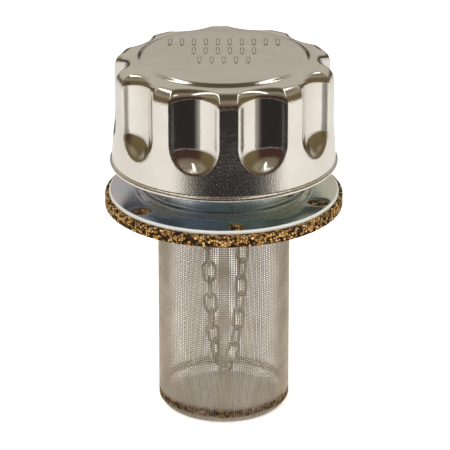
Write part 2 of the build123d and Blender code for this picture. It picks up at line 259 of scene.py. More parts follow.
def cup_wires():
    """Both sets of wires of the blank, waving over and under each other, drawn into the cup."""
    blank_r = cup_flat_r + cup_arc_run + cup_high.z - cup_floor_z - cup_corner_r - wire_d
    lines = int(blank_r / weave_pitch)
    wires = []
    for direction in (0, 1):
        for line in range(-lines, lines + 1):
            offset = line * weave_pitch
            half = int(sqrt(blank_r ** 2 - offset ** 2) / weave_pitch)
            if half < 2:
                continue
            points, normals = [], []
            for step in range(-half, half + 1):
                x, y = (step * weave_pitch, offset) if direction else (offset, step * weave_pitch)
                place, normal = cup_place(x, y)
                wave = wire_wave * (1 if (line + step + direction) % 2 else -1)
                points.append([p + n * wave for p, n in zip(place, normal)])
                normals.append(normal)
            wires.append((np.array(points), np.array(normals, float), False))
    return wires


def make_gauze_material():
    """Stainless wire, warm grey, with brown and near-black heat tint over the welded band."""
    material, tree, shader = new_material("gauze_wire", Metallic=0.8, Roughness=0.38)
    coords = add_node(tree, "ShaderNodeTexCoord", (-1200, 0))
    split = add_node(tree, "ShaderNodeSeparateXYZ", (-1000, -200))
    grain = place_group(tree, surface_grain, (-1000, 200), Scale=700.0, Patch_Scale=160.0)
    steel = ramp_node(tree, ((0.3, (0.64, 0.565, 0.46)), (0.7, (0.80, 0.72, 0.60))), (-600, 200))
    tint = ramp_node(tree, ((0.36, (0.025, 0.016, 0.012)), (0.46, (0.17, 0.085, 0.03)),
                            (0.56, (0.42, 0.25, 0.10)), (0.66, (0.62, 0.52, 0.38))), (-600, 0))
    band_low = weld_z - weld_half
    shift = add_node(tree, "ShaderNodeMath", (-800, -350), operation="MULTIPLY_ADD")
    shift.inputs[1].default_value = 1.6 * mm
    level = add_node(tree, "ShaderNodeMapRange", (-600, -250), interpolation_type="SMOOTHSTEP")
    level.inputs["From Min"].default_value = band_low + 1.0 * mm
    level.inputs["From Max"].default_value = band_low + 2.0 * mm
    fade = add_node(tree, "ShaderNodeMapRange", (-600, -450), interpolation_type="SMOOTHSTEP")
    fade.inputs["From Min"].default_value = weld_z + weld_half
    fade.inputs["From Max"].default_value = weld_z + weld_half - 1.8 * mm
    both = add_node(tree, "ShaderNodeMath", (-400, -300), operation="MULTIPLY")
    mix = add_node(tree, "ShaderNodeMix", (-200, 100), data_type="RGBA")
    link = tree.links.new
    link(coords.outputs["Object"], split.inputs[0])
    link(grain.outputs["Patches"], shift.inputs[0])
    link(split.outputs["Z"], shift.inputs[2])
    link(shift.outputs[0], level.inputs["Value"])
    link(shift.outputs[0], fade.inputs["Value"])
    link(level.outputs[0], both.inputs[0])
    link(fade.outputs[0], both.inputs[1])
    link(grain.outputs["Patches"], steel.inputs[0])
    link(grain.outputs["Grain"], tint.inputs[0])
    link(both.outputs[0], mix.inputs["Factor"])
    link(steel.outputs[0], mix.inputs["A"])
    link(tint.outputs[0], mix.inputs["B"])
    link(mix.outputs["Result"], shader.inputs["Base Color"])
    return material


weld_z = (side_low.z + cup_high.z) / 2
weld_half = (cup_high.z - side_low.z) / 2 + 0.4 * mm
surface_grain = make_grain_group()
axis_reach = make_reach_group()
gauze = make_gauze_material()
basket_floor = wire_piece("basket_floor_gauze", cup_wires(), gauze)
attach(basket_floor, "neck")
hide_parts("basket_bottom")


# ---- Basket side ----------------------------------------------------------------------------
# Strip of the same gauze rolled into a tube, with its ends lapped and spot-welded at the front.
# The upright wires and the round ones are two pieces here, because each has its own run.
seam_wires = 4
seam_lift = 0.42 * mm
upright_count = 2 * round(pi * tube_mid_r / weave_pitch)
round_count = ceil((side_high.z - side_low.z - wire_d) / weave_pitch)
round_pitch = (side_high.z - side_low.z - wire_d) / round_count


def tube_wire(angles, levels, lift, over):
    """Points of one wire at radius tube_mid_r + lift, waving by the sign list over."""
    radius = tube_mid_r + lift + wire_wave * over
    points = np.stack([radius * np.cos(angles), radius * np.sin(angles), levels], 1)
    normals = np.stack([np.cos(angles), np.sin(angles), 0 * angles], 1)
    return points, normals


def upright_wires():
    levels = side_low.z + wire_d / 2 + round_pitch * np.arange(round_count + 1)
    signs = np.where(np.arange(round_count + 1) % 2, 1.0, -1.0)
    step = 2 * pi / upright_count
    wires = []
    for number in range(upright_count):
        angles = np.full(round_count + 1, number * step)
        sign = signs if number % 2 else -signs
        wires.append((*tube_wire(angles, levels, 0, sign), False))
    for number in range(seam_wires):
        angles = np.full(round_count + 1, -pi / 2 + (number + 0.5 - seam_wires / 2) * step)
        sign = signs if number % 2 else -signs
        wires.append((*tube_wire(angles, levels, seam_lift, sign), False))
    return wires


def round_wires():
    step = 2 * pi / upright_count
    angles = step * np.arange(upright_count)
    signs = np.where(np.arange(upright_count) % 2, -1.0, 1.0)
    lap = np.arange(seam_wires + 2)
    lap_angles = -pi / 2 + (lap - 0.5 - seam_wires / 2) * step
    lap_signs = np.where(lap % 2, 1.0, -1.0)
    wires = []
    for number in range(round_count + 1):
        z = side_low.z + wire_d / 2 + round_pitch * number
        sign = signs if number % 2 else -signs
        wires.append((*tube_wire(angles, np.full(upright_count, z), 0, sign), True))
        lap_sign = lap_signs if number % 2 else -lap_signs
        wires.append((*tube_wire(lap_angles, np.full(len(lap), z), seam_lift, lap_sign), False))
    return wires


basket_uprights = wire_piece("basket_upright_wires", upright_wires(), gauze)
basket_rounds = wire_piece("basket_round_wires", round_wires(), gauze)
for piece in (basket_uprights, basket_rounds):
    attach(piece, "neck")
    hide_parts("basket_side")


# ---- Basket rim, anchor and the steel inside the cap ------------------------------------------
# Zinc-plated mild steel pressings: grey, a little dull, with faint pressing marks.
def make_inner_steel_material():
    material, tree, shader = new_material("plated_inner_steel", Metallic=1.0)
    grain = place_group(tree, surface_grain, (-800, 0), Scale=1400.0, Patch_Scale=45.0)
    colour = ramp_node(tree, ((0.3, (0.42, 0.43, 0.43)), (0.7, (0.6, 0.61, 0.6))), (-500, 200))
    gloss = add_node(tree, "ShaderNodeMapRange", (-500, -100))
    gloss.inputs["To Min"].default_value = 0.24
    gloss.inputs["To Max"].default_value = 0.46
    bump = add_node(tree, "ShaderNodeBump", (-300, -300), Strength=0.12, Distance=0.05 * mm)
    link = tree.links.new
    link(grain.outputs["Patches"], colour.inputs[0])
    link(grain.outputs["Grain"], gloss.inputs["Value"])
    link(grain.outputs["Grain"], bump.inputs["Height"])
    link(colour.outputs[0], shader.inputs["Base Color"])
    link(gloss.outputs[0], shader.inputs["Roughness"])
    link(bump.outputs[0], shader.inputs["Normal"])
    return material


def dress(names, material):
    """Gives CAD nodes their material."""
    for name in names:
        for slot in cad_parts[name].material_slots:
            slot.material = material


inner_steel = make_inner_steel_material()
dress(("basket_rim", "chain_anchor", "chain_swivel", "inner_cup", "element_retainer", "locking_plate",
       "centre_bush", "centre_rivet", "spacer_washer"), inner_steel)


# ---- Cork gaskets ---------------------------------------------------------------------------
# Two rings die-cut from composition cork: tan and brown granules in a dark binder.
# They stand a little proud of the plate, and their cut edges are slightly crumbly.
cork_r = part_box("gasket_lower")[1].y
cork_bore_r = 24.5 * mm
screw_circle_r = 36.5 * mm
screw_hole_r = 2.6 * mm
screw_turn = radians(-83)
screw_places = [screw_turn + i * pi / 3 for i in range(6)]
cork_crumble = 0.1 * mm
cork_levels = 4


def ring_points(radius, count, centre=(0, 0), rough=0.0, seed=0):
    """Points of a circle, with a small seeded unevenness."""
    uneven = np.random.default_rng(seed).uniform(-rough, 0, count)
    turns = 2 * pi * np.arange(count) / count
    return [(centre[0] + (radius + u) * cos(t), centre[1] + (radius + u) * sin(t))
            for t, u in zip(turns, uneven)]


def flat_piece(name, outlines, low_z, high_z, edge, material):
    """A sheet cut to closed outlines, the first outside and the rest holes, with rounded edges."""
    curve = bpy.data.curves.new(name, "CURVE")
    curve.dimensions = "2D"
    curve.fill_mode = "BOTH"
    for outline in outlines:
        spline = curve.splines.new("POLY")
        spline.points.add(len(outline) - 1)
        spline.points.foreach_set("co", [c for x, y in outline for c in (x, y, 0, 1)])
        spline.use_cyclic_u = True
    curve.extrude = (high_z - low_z) / 2 - edge
    curve.bevel_depth = edge
    curve.bevel_resolution = 2
    curve.offset = -edge
    piece = bpy.data.objects.new(name, curve)
    bpy.context.scene.collection.objects.link(piece)
    bpy.context.view_layer.objects.active = piece
    piece.select_set(True)
    bpy.ops.object.convert(target="MESH")
    piece = bpy.context.object
    piece.data.transform(Matrix.Translation((0, 0, (low_z + high_z) / 2)))
    merge_and_face_out(piece)
    piece.data.materials.clear()
    piece.data.materials.append(material)
    bpy.ops.object.shade_smooth_by_angle(angle=radians(35))
    piece.select_set(False)
    return piece


def merge_and_face_out(piece):
    bpy.context.view_layer.objects.active = piece
    piece.select_set(True)
    bpy.ops.object.mode_set(mode="EDIT")
    bpy.ops.mesh.select_all(action="SELECT")
    bpy.ops.mesh.remove_doubles(threshold=0.0005 * mm)
    bpy.ops.mesh.normals_make_consistent(inside=False)
    bpy.ops.object.mode_set(mode="OBJECT")


def slice_levels(piece, levels):
    """Cuts the piece across at each level, to give its upright walls more rows of points."""
    bpy.context.view_layer.objects.active = piece
    piece.select_set(True)
    bpy.ops.object.mode_set(mode="EDIT")
    for z in levels:
        bpy.ops.mesh.select_all(action="SELECT")
        bpy.ops.mesh.bisect(plane_co=(0, 0, z), plane_no=(0, 0, 1))
    bpy.ops.object.mode_set(mode="OBJECT")
    piece.select_set(False)


def crumble_edge(piece, radius, depth, seed):
    """Pushes the points of the outer wall in by small seeded amounts."""
    uneven = np.random.default_rng(seed)
    for vertex in piece.data.vertices:
        reach = vertex.co.to_2d().length
        if reach > radius - 3 * depth:
            share = 1 - uneven.uniform(0, depth) / reach
            vertex.co.x *= share
            vertex.co.y *= share


def make_cork_material():
    material, tree, shader = new_material("composition_cork", Roughness=0.85, Specular_IOR_Level=0.25)
    coords = add_node(tree, "ShaderNodeTexCoord", (-1400, 0))
    warp = add_node(tree, "ShaderNodeTexNoise", (-1200, -200), Scale=1200.0, Detail=2.0)
    bent = add_node(tree, "ShaderNodeVectorMath", (-1000, 0), operation="MULTIPLY_ADD")
    bent.inputs[1].default_value = (0.5 * mm, 0.5 * mm, 0.5 * mm)
    cells = add_node(tree, "ShaderNodeTexVoronoi", (-800, 200), Scale=1050.0)
    edges = add_node(tree, "ShaderNodeTexVoronoi", (-800, -100), feature="DISTANCE_TO_EDGE", Scale=1050.0)
    small = add_node(tree, "ShaderNodeTexVoronoi", (-800, -400), Scale=2300.0)
    split = add_node(tree, "ShaderNodeSeparateColor", (-600, 200))
    granule = ramp_node(tree, ((0.0, (0.02, 0.008, 0.004)), (0.3, (0.07, 0.028, 0.009)),
                               (0.42, (0.38, 0.18, 0.045)), (0.62, (0.62, 0.34, 0.10)),
                               (0.88, (0.78, 0.50, 0.20))), (-400, 250))
    binder = ramp_node(tree, ((0.04, (0.0, 0.0, 0.0)), (0.2, (1.0, 1.0, 1.0))), (-400, -50))
    speck = ramp_node(tree, ((0.1, (0.25, 0.25, 0.25)), (0.34, (1.0, 1.0, 1.0))), (-400, -350))
    dark = add_node(tree, "ShaderNodeMix", (-150, 150), data_type="RGBA", blend_type="MULTIPLY")
    dark.inputs["Factor"].default_value = 0.97
    flecks = add_node(tree, "ShaderNodeMix", (50, 150), data_type="RGBA", blend_type="MULTIPLY")
    flecks.inputs["Factor"].default_value = 0.6
    bump = add_node(tree, "ShaderNodeBump", (50, -200), Strength=0.8, Distance=0.12 * mm)
    link = tree.links.new
    link(coords.outputs["Object"], warp.inputs["Vector"])
    link(warp.outputs["Color"], bent.inputs[0])
    link(coords.outputs["Object"], bent.inputs[2])
    for texture in (cells, edges, small):
        link(bent.outputs[0], texture.inputs["Vector"])
    link(cells.outputs["Color"], split.inputs[0])
    link(split.outputs[0], granule.inputs[0])
    link(edges.outputs["Distance"], binder.inputs[0])
    link(small.outputs["Distance"], speck.inputs[0])
    link(granule.outputs[0], dark.inputs["A"])
    link(binder.outputs[0], dark.inputs["B"])
    link(dark.outputs["Result"], flecks.inputs["A"])
    link(speck.outputs[0], flecks.inputs["B"])
    link(flecks.outputs["Result"], shader.inputs["Base Color"])
    link(binder.outputs[0], bump.inputs["Height"])
    link(bump.outputs[0], shader.inputs["Normal"])
    return material


cork = make_cork_material()
for number, name in enumerate(("gasket_lower", "gasket_upper")):
    low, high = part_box(name)
    outlines = [ring_points(cork_r, 480), ring_points(cork_bore_r, 180)]
    for turn in screw_places:
        centre = (screw_circle_r * cos(turn), screw_circle_r * sin(turn))
        outlines.append(ring_points(screw_hole_r, 40, centre))
    ring = flat_piece(name + "_cork", outlines, low.z, high.z, 0.12 * mm, cork)
    rows = [low.z + (high.z - low.z) * (i + 1) / (cork_levels + 1) for i in range(cork_levels)]
    slice_levels(ring, rows)
    crumble_edge(ring, cork_r, cork_crumble, number)
    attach(ring, "neck")
    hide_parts(name)


# ---- Flange plate ---------------------------------------------------------------------------
# Round plate blanked from 1.5 mm steel with six radial slots, then zinc plated and passivated,
# which leaves a thin blue, lilac and green bloom. The rim is rolled over by the blanking, and a
# pale, duller band along its outer edge is a painted highlight.
plate_low, plate_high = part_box("flange_plate")
plate_r = plate_high.x
plate_bore_r = 29.0 * mm
slot_width = 5.7 * mm
slot_length = 7.75 * mm


def slot_points(turn, steps=16):
    """Outline of a round-ended slot that runs outwards at angle turn."""
    half_run = (slot_length - slot_width) / 2
    points = []
    for end in (1, -1):
        reach = screw_circle_r + end * half_run
        for step in range(steps + 1):
            bend = turn + (0 if end > 0 else pi) - pi / 2 + pi * step / steps
            points.append((reach * cos(turn) + slot_width / 2 * cos(bend),
                           reach * sin(turn) + slot_width / 2 * sin(bend)))
    return points


def make_zinc_material():
    material, tree, shader = new_material("passivated_zinc")
    coords = add_node(tree, "ShaderNodeTexCoord", (-1300, 0))
    split = add_node(tree, "ShaderNodeSeparateXYZ", (-1100, 200))
    grain = place_group(tree, surface_grain, (-1100, -200), Scale=900.0, Patch_Scale=70.0)
    drift = add_node(tree, "ShaderNodeMath", (-900, 100), operation="MULTIPLY_ADD")
    drift.inputs[1].default_value = 22 * mm
    across = add_node(tree, "ShaderNodeMapRange", (-700, 100))
    across.inputs["From Min"].default_value = -34 * mm
    across.inputs["From Max"].default_value = 56 * mm
    bloom = ramp_node(tree, ((0.0, (0.70, 0.66, 0.70)), (0.16, (0.58, 0.62, 0.74)),
                             (0.30, (0.44, 0.58, 0.72)), (0.50, (0.40, 0.58, 0.66)),
                             (0.66, (0.48, 0.62, 0.60)), (0.8, (0.60, 0.68, 0.60)),
                             (1.0, (0.72, 0.73, 0.64))), (-500, 100))
    gloss = add_node(tree, "ShaderNodeMapRange", (-500, -150))
    gloss.inputs["To Min"].default_value = 0.14
    gloss.inputs["To Max"].default_value = 0.26
    bump = add_node(tree, "ShaderNodeBump", (-300, -350), Strength=0.08, Distance=0.05 * mm)
    link = tree.links.new
    link(coords.outputs["Object"], split.inputs[0])
    link(grain.outputs["Patches"], drift.inputs[0])
    link(split.outputs["X"], drift.inputs[2])
    link(drift.outputs[0], across.inputs["Value"])
    link(across.outputs[0], bloom.inputs[0])
    link(grain.outputs["Grain"], gloss.inputs["Value"])
    link(grain.outputs["Grain"], bump.inputs["Height"])
    # Painted highlight: the outermost 0.75 mm of the plate is painted pale, rougher and less metallic, as a
    # bright line along the rolled rim.
    rim_highlight_mask = place_group(tree, axis_reach, (-500, 400), Start=plate_r - 0.75 * mm, Stop=plate_r - 0.4 * mm)
    rim = add_node(tree, "ShaderNodeMix", (-200, 300), data_type="RGBA")
    rim.inputs["B"].default_value = (0.84, 0.85, 0.83, 1)
    dull = add_node(tree, "ShaderNodeMath", (-200, 0), operation="MULTIPLY_ADD")
    dull.inputs[1].default_value = 0.35
    metal = add_node(tree, "ShaderNodeMath", (-200, -150), operation="MULTIPLY_ADD")
    metal.inputs[1].default_value = -0.6
    metal.inputs[2].default_value = 0.93
    link(rim_highlight_mask.outputs[0], rim.inputs["Factor"])
    link(rim_highlight_mask.outputs[0], dull.inputs[0])
    link(rim_highlight_mask.outputs[0], metal.inputs[0])
    link(gloss.outputs[0], dull.inputs[2])
    link(bloom.outputs[0], rim.inputs["A"])
    link(rim.outputs["Result"], shader.inputs["Base Color"])
    link(dull.outputs[0], shader.inputs["Roughness"])
    link(metal.outputs[0], shader.inputs["Metallic"])
    link(bump.outputs[0], shader.inputs["Normal"])
    return material


zinc = make_zinc_material()
plate_outlines = [ring_points(plate_r, 360), ring_points(plate_bore_r, 240)]
plate_outlines += [slot_points(turn) for turn in screw_places]
plate = flat_piece("flange_plate_zinc", plate_outlines, plate_low.z, plate_high.z, 0.55 * mm, zinc)
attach(plate, "neck")
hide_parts("flange_plate")


# ---- Filler neck ----------------------------------------------------------------------------
# Drawn steel collar, staked to the plate around its foot and plated with it. Its mouth is
# turned in and notched for the cap's three lugs.
def make_neck_material():
    """The plate's finish where drawing has polished the wall: paler, blue to grey green."""
    material, tree, shader = new_material("passivated_neck", Metallic=0.94)
    coords = add_node(tree, "ShaderNodeTexCoord", (-1300, 0))
    split = add_node(tree, "ShaderNodeSeparateXYZ", (-1100, 200))
    grain = place_group(tree, surface_grain, (-1100, -200), Scale=1100.0, Patch_Scale=90.0)
    across = add_node(tree, "ShaderNodeMapRange", (-700, 100))
    across.inputs["From Min"].default_value = -32 * mm
    across.inputs["From Max"].default_value = 32 * mm
    bloom = ramp_node(tree, ((0.0, (0.74, 0.74, 0.80)), (0.35, (0.55, 0.68, 0.80)),
                             (0.6, (0.60, 0.76, 0.80)), (1.0, (0.78, 0.82, 0.74))), (-500, 100))
    gloss = add_node(tree, "ShaderNodeMapRange", (-500, -150))
    gloss.inputs["To Min"].default_value = 0.16
    gloss.inputs["To Max"].default_value = 0.3
    bump = add_node(tree, "ShaderNodeBump", (-300, -350), Strength=0.15, Distance=0.05 * mm)
    link = tree.links.new
    link(coords.outputs["Object"], split.inputs[0])
    link(split.outputs["X"], across.inputs["Value"])
    link(across.outputs[0], bloom.inputs[0])
    link(grain.outputs["Grain"], gloss.inputs["Value"])
    link(grain.outputs["Grain"], bump.inputs["Height"])
    link(bloom.outputs[0], shader.inputs["Base Color"])
    link(gloss.outputs[0], shader.inputs["Roughness"])
    link(bump.outputs[0], shader.inputs["Normal"])
    return material


dress(("filler_neck",), make_neck_material())


# ---- Keeper chain ---------------------------------------------------------------------------
# Welded oval links of 1.2 mm bright zinc-plated wire, from the cap's swivel down into the
# basket and up again to the anchor in the neck.
def make_chain_material():
    material, tree, shader = new_material("chain_wire", Metallic=1.0, Roughness=0.28)
    grain = place_group(tree, surface_grain, (-800, 0), Scale=1600.0, Patch_Scale=300.0)
    colour = ramp_node(tree, ((0.3, (0.36, 0.34, 0.31)), (0.7, (0.66, 0.64, 0.6))), (-500, 200))
    bump = add_node(tree, "ShaderNodeBump", (-300, -300), Strength=0.15, Distance=0.05 * mm)
    link = tree.links.new
    link(grain.outputs["Patches"], colour.inputs[0])
    link(grain.outputs["Grain"], bump.inputs["Height"])
    link(colour.outputs[0], shader.inputs["Base Color"])
    link(bump.outputs[0], shader.inputs["Normal"])
    return material


chain_links = sorted(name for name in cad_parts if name.startswith("chain_link_"))
dress(chain_links, make_chain_material())


# ---- Filter element and seal ------------------------------------------------------------------
# Pleated resin-treated paper ring, and a black nitrile ring that seals on the neck's mouth.
def make_paper_material():
    material, tree, shader = new_material("filter_paper", Roughness=0.9)
    grain = place_group(tree, surface_grain, (-800, 0), Scale=1500.0, Patch_Scale=120.0)
    colour = ramp_node(tree, ((0.3, (0.5, 0.38, 0.2)), (0.7, (0.68, 0.55, 0.33))), (-500, 200))
    bump = add_node(tree, "ShaderNodeBump", (-300, -300), Strength=0.3, Distance=0.1 * mm)
    link = tree.links.new
    link(grain.outputs["Patches"], colour.inputs[0])
    link(grain.outputs["Grain"], bump.inputs["Height"])
    link(colour.outputs[0], shader.inputs["Base Color"])
    link(bump.outputs[0], shader.inputs["Normal"])
    return material


def make_rubber_material():
    material, tree, shader = new_material("seal_rubber", Roughness=0.6)
    grain = place_group(tree, surface_grain, (-800, 0), Scale=1800.0, Patch_Scale=90.0)
    colour = ramp_node(tree, ((0.3, (0.018, 0.018, 0.019)), (0.7, (0.04, 0.04, 0.042))), (-500, 200))
    bump = add_node(tree, "ShaderNodeBump", (-300, -300), Strength=0.2, Distance=0.05 * mm)
    link = tree.links.new
    link(grain.outputs["Patches"], colour.inputs[0])
    link(grain.outputs["Grain"], bump.inputs["Height"])
    link(colour.outputs[0], shader.inputs["Base Color"])
    link(bump.outputs[0], shader.inputs["Normal"])
    return material


dress(("air_filter_element",), make_paper_material())
dress(("cap_seal",), make_rubber_material())


# ---- Cap shell ------------------------------------------------------------------------------
# Deep-drawn steel cap with ten finger flutes, a raised disc on top and its lower edge rolled
# into a hem, bright chrome plated over a slightly pebbled pressing.
shell_low, shell_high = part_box("cap_shell")
bar_height = 0.6 * mm
cap_top_z = shell_high.z - bar_height
cap_bottom_z = shell_low.z
cap_side_r = 39.9 * mm
cap_wall = 0.9 * mm
hem_wire_r = 0.95 * mm
hem_r = shell_high.x - hem_wire_r
hem_z = cap_bottom_z + hem_wire_r
flare_z = cap_bottom_z + 13.0 * mm
disc_r = 29.2 * mm
disc_foot_r = 31.0 * mm
disc_crown = 0.2 * mm
disc_edge_soft = 0.7 * mm
shoulder_z = cap_top_z - 1.45 * mm
shoulder_round = 5.5 * mm
flute_round = 3.4 * mm
flute_count = 10
flute_turn = radians(-69.5)
flute_r = 12.4 * mm
flute_floor_r = 35.4 * mm
flute_centre_r = flute_floor_r + flute_r
flute_end_z = cap_bottom_z + 19.6 * mm
flute_blend = 1.3 * mm


def column_turns():
    """Angles of the shell's columns, closest together at the edges of the flutes."""
    spans = ((-18, -14.4, 6), (-14.4, -11.6, 10), (-11.6, 11.6, 24), (11.6, 14.4, 10), (14.4, 18, 6))
    one = np.concatenate([np.linspace(first, last, count, endpoint=False)
                          for first, last, count in spans])
    return np.concatenate([flute_turn + np.radians(one + 36 * number) for number in range(flute_count)])


def flute_face(z, grow):
    """Distance of the nearest flute's face from the cap's axis, or far out where there is none."""
    step = 2 * pi / flute_count
    off = (turns - flute_turn + step / 2) % step - step / 2
    below = np.maximum(flute_end_z - z, 0)
    reach = np.sqrt(np.maximum((flute_r + grow) ** 2 - below ** 2, 0))
    side = flute_centre_r * np.sin(off)
    depth = np.sqrt(np.maximum(reach ** 2 - side ** 2, 0))
    return flute_centre_r * np.cos(off) - depth


def wall_r(z, inset):
    """Radius of the shell's side at height z, with the flutes pressed in and its lower end flared."""
    slope = np.clip((flare_z - z) / (flare_z - hem_z), 0, 1)
    plain = cap_side_r - inset + slope ** 1.6 * (hem_r + 0.3 * hem_wire_r - cap_side_r)
    face = flute_face(z, inset)
    gap = np.maximum(flute_blend - np.abs(plain - face), 0)
    return np.minimum(plain, face) - gap * gap / (4 * flute_blend)


def soft_corner(before, corner, after, steps):
    """Points of a rounded corner between two (radius, height) points on its sides."""
    for i in range(steps + 1):
        t = i / steps
        shares = ((1 - t) ** 2, 2 * t * (1 - t), t ** 2)
        yield tuple(sum(share * point[axis] for share, point in zip(shares, (before, corner, after)))
                    for axis in (0, 1))


def shell_rows(inset):
    """(radius, height) rows of one face of the shell, from the middle of the disc to the flare."""
    side = wall_r(shoulder_z, inset)
    pressed = np.clip((cap_side_r - inset - side) / (cap_side_r - flute_floor_r), 0, 1)
    roll = shoulder_round - (shoulder_round - flute_round) * pressed
    top, low = cap_top_z - inset, shoulder_z - inset
    slope = Vector((disc_foot_r - disc_r, low - top + disc_crown)).normalized()
    foot = np.clip(side - roll - disc_foot_r, 0.15 * mm, 0.9 * mm)
    edge_r = disc_r - disc_edge_soft
    rows = [(edge_r * share, top - disc_crown * share ** 2) for share in (0.06, 0.25, 0.45, 0.65, 0.85)]
    rows += soft_corner((edge_r, top - disc_crown), (disc_r, top - disc_crown),
                        (disc_r + disc_edge_soft * slope.x, top - disc_crown + disc_edge_soft * slope.y), 5)
    rows += soft_corner((disc_foot_r - foot * slope.x, low - foot * slope.y), (disc_foot_r, low),
                        (disc_foot_r + foot, low), 5)
    for i in range(1, 4):
        rows.append((disc_foot_r + foot + (side - roll - disc_foot_r - foot) * i / 4, low))
    for i in range(13):
        bend = radians(90 - 90 * i / 12)
        rows.append((side - roll + roll * cos(bend), low - roll + roll * sin(bend)))
    for i in range(1, 31):
        z = (low - roll) * (1 - i / 30) + flare_z * i / 30
        rows.append((wall_r(z, inset), z))
    return rows


def hem_rows():
    """The flare and the rolled hem, out, down and round to the inside."""
    rows = []
    for i in range(1, 21):
        z = flare_z + (hem_z + 0.95 * hem_wire_r - flare_z) * i / 20
        rows.append((wall_r(z, 0), z))
    for i in range(21):
        bend = radians(66 - 291 * i / 20)
        rows.append((hem_r + hem_wire_r * cos(bend), hem_z + hem_wire_r * sin(bend)))
    return rows


def shell_mesh():
    rows = shell_rows(0) + hem_rows()
    rows += [(wall_r(z, cap_wall), z) for z in np.linspace(hem_z + 1.1 * hem_wire_r, flare_z, 10)[:-1]]
    rows += shell_rows(cap_wall)[::-1]
    columns = len(turns)
    points = [np.stack([r * np.cos(turns), r * np.sin(turns), z + 0 * turns], 1) for r, z in rows]
    faces = []
    for row in range(len(rows) - 1):
        for column in range(columns):
            after = (column + 1) % columns
            faces.append((row * columns + column, (row + 1) * columns + column,
                          (row + 1) * columns + after, row * columns + after))
    last = (len(rows) - 1) * columns
    faces.append(tuple(range(columns)))
    faces.append(tuple(last + column for column in reversed(range(columns))))
    return np.concatenate(points), faces


turns = column_turns()


def make_chrome_material():
    material, tree, shader = new_material("cap_chrome", Metallic=1.0)
    coords = add_node(tree, "ShaderNodeTexCoord", (-1300, 0))
    split = add_node(tree, "ShaderNodeSeparateXYZ", (-1100, 200))
    grain = place_group(tree, surface_grain, (-1100, -200), Scale=1900.0, Detail=2.0, Patch_Scale=90.0)
    top = add_node(tree, "ShaderNodeMapRange", (-900, 200), interpolation_type="SMOOTHSTEP")
    top.inputs["From Min"].default_value = cap_top_z - 0.5 * mm
    top.inputs["From Max"].default_value = cap_top_z - 0.15 * mm
    top.inputs["To Min"].default_value = 0.06
    top.inputs["To Max"].default_value = 0.22
    bars_clear = add_node(tree, "ShaderNodeMapRange", (-900, 450), interpolation_type="SMOOTHSTEP")
    bars_clear.inputs["From Min"].default_value = cap_top_z + 0.02 * mm
    bars_clear.inputs["From Max"].default_value = cap_top_z + 0.15 * mm
    bars_clear.inputs["To Max"].default_value = -0.15
    finish = add_node(tree, "ShaderNodeMath", (-700, 300), operation="ADD")
    haze = add_node(tree, "ShaderNodeMath", (-700, 0), operation="MULTIPLY_ADD")
    haze.inputs[1].default_value = 0.04
    colour = ramp_node(tree, ((0.3, (0.73, 0.70, 0.65)), (0.7, (0.79, 0.765, 0.72))), (-500, 250))
    bump = add_node(tree, "ShaderNodeBump", (-300, -300), Strength=0.8, Distance=0.11 * mm)
    unpressed = place_group(tree, axis_reach, (-900, -400), Start=cap_side_r - 1.6 * mm,
                            Stop=cap_side_r - 0.3 * mm)
    outside = add_node(tree, "ShaderNodeMapRange", (-500, -400))
    outside.inputs["To Min"].default_value = 0.22
    pebble = add_node(tree, "ShaderNodeMath", (-400, -200), operation="MULTIPLY")
    link = tree.links.new
    link(coords.outputs["Object"], split.inputs[0])
    link(split.outputs["Z"], top.inputs["Value"])
    link(unpressed.outputs["Mask"], outside.inputs["Value"])
    link(grain.outputs["Grain"], pebble.inputs[0])
    link(outside.outputs[0], pebble.inputs[1])
    link(grain.outputs["Patches"], haze.inputs[0])
    link(split.outputs["Z"], bars_clear.inputs["Value"])
    link(top.outputs[0], finish.inputs[0])
    link(bars_clear.outputs[0], finish.inputs[1])
    link(finish.outputs[0], haze.inputs[2])
    link(haze.outputs[0], shader.inputs["Roughness"])
    link(grain.outputs["Patches"], colour.inputs[0])
    link(colour.outputs[0], shader.inputs["Base Color"])
    link(pebble.outputs[0], bump.inputs["Height"])
    link(bump.outputs[0], shader.inputs["Normal"])
    return material


chrome = make_chrome_material()
shell = mesh_piece("cap_shell_chrome", *shell_mesh(), chrome)
merge_and_face_out(shell)
shell.select_set(False)
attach(shell, "cap")
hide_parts("cap_shell")


# ---- Raised bars ----------------------------------------------------------------------------
# Three rows of plain bars embossed in the disc from below, with soft tops, chromed with the cap.
bar_width = 1.5 * mm
bar_length = 6.4 * mm
bar_pitch = 4.3 * mm
bar_row_pitch = 9.6 * mm
bar_row_first = 13.6 * mm
bar_rows = (10, 6, 5)
bar_sink = 0.2 * mm


def bar_template():
    """One bar at the origin: a cube bevelled to a soft round-ended ridge."""
    bpy.ops.mesh.primitive_cube_add(size=1, location=(0, 0, 0))
    bar = bpy.context.object
    bar.scale = (bar_width, bar_length, 2 * bar_height)
    bpy.ops.object.transform_apply(location=False, rotation=False, scale=True)
    upright = bar.modifiers.new("ends", "BEVEL")
    upright.width = 0.49 * bar_width
    upright.segments = 6
    upright.limit_method = "ANGLE"
    bpy.ops.object.modifier_apply(modifier="ends")
    bpy.ops.object.shade_smooth()
    bar.select_set(False)
    return bar


template = bar_template()
bars = []
for row, count in enumerate(bar_rows):
    for number in range(count):
        bar = bpy.data.objects.new("bar", template.data.copy())
        bpy.context.scene.collection.objects.link(bar)
        x = (number - (count - 1) / 2) * bar_pitch
        y = bar_row_first - row * bar_row_pitch
        bar.data.transform(Matrix.Translation((x, y, cap_top_z - bar_sink)))
        bars.append(bar)
bpy.data.objects.remove(template)
for bar in bars:
    bar.select_set(True)
bpy.context.view_layer.objects.active = bars[0]
bpy.ops.object.join()
raised_bars = bpy.context.object
raised_bars.name = "cap_raised_bars"
raised_bars.data.materials.clear()
raised_bars.data.materials.append(chrome)
raised_bars.select_set(False)
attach(raised_bars, "cap")


